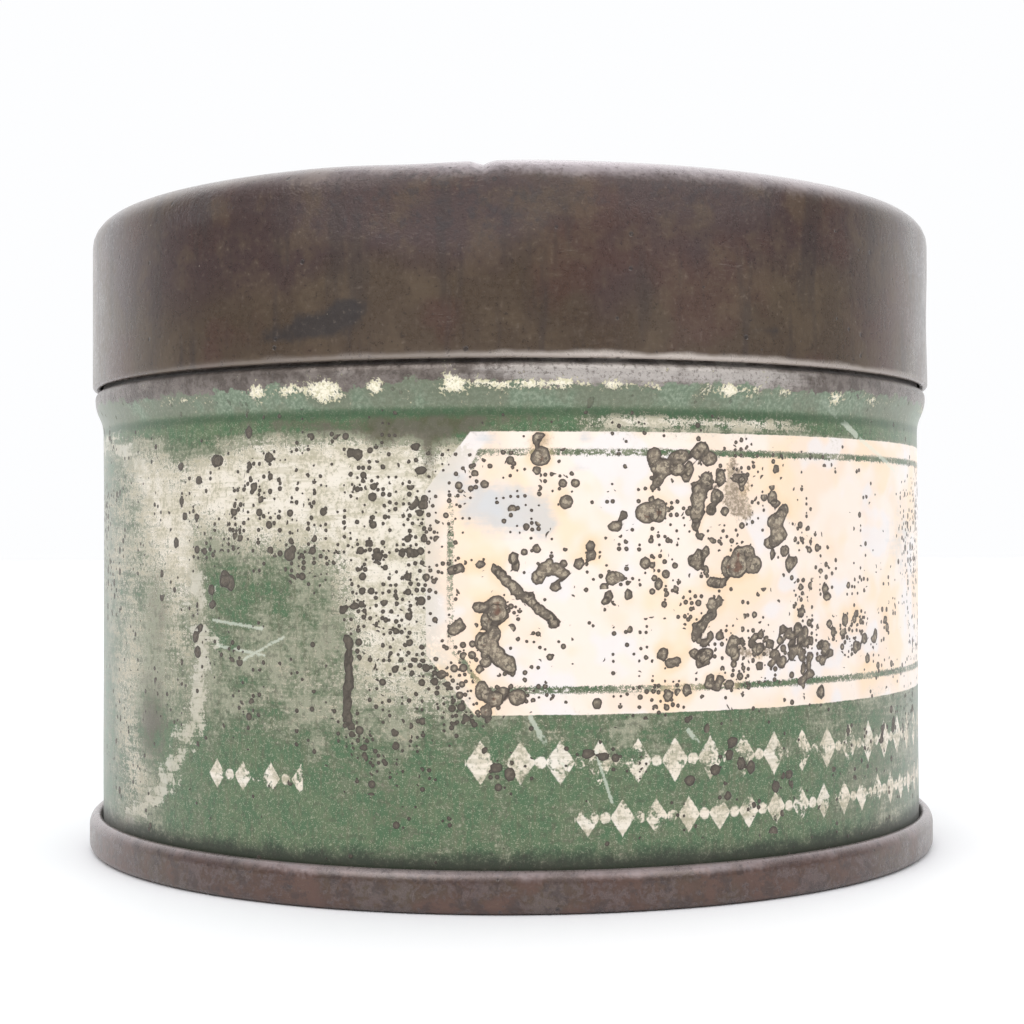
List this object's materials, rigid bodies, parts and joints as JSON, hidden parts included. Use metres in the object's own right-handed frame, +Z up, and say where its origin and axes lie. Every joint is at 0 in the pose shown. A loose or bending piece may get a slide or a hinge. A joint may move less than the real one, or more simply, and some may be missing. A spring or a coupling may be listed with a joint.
{
  "type": "shoe polish tin",
  "caption": "Round slip-lid tin with a folded hem, a stop bead, a curled mouth, a double-seamed bottom and a worn cake of polish.",
  "frame": {"origin": "middle of the flat ring that the tin stands on", "axes": "+Z up along the tin's axis, -Y towards the front with the printed panel starting there, +X to the right, the side seam at +Y"},
  "size_m": [0.076, 0.076, 0.0549],
  "materials": {
    "printed_tinplate": "satin",
    "bare_tinplate": "satin",
    "solder": "matte",
    "sealing_compound": "matte",
    "polish": "satin",
    "waxed_card": "matte"
  },
  "bodies": {
    "tin": {"body_wall": "printed_tinplate", "side_seam_solder": "solder", "bottom_end": "bare_tinplate", "bottom_seam_compound": "sealing_compound", "polish_cake": "polish"},
    "liner": {"lid_liner": "waxed_card"},
    "lid": {"lid_shell": "bare_tinplate"}
  },
  "joints": [
    {"name": "lid_lift", "type": "slide", "parent": "tin", "child": "liner", "axis": [0, 0, 1], "range_m": [0, 0.04]},
    {"name": "lid_turn", "type": "hinge", "parent": "liner", "child": "lid", "pos_m": [0, 0, 0], "axis": [0, 0, 1], "continuous": true}
  ]
}
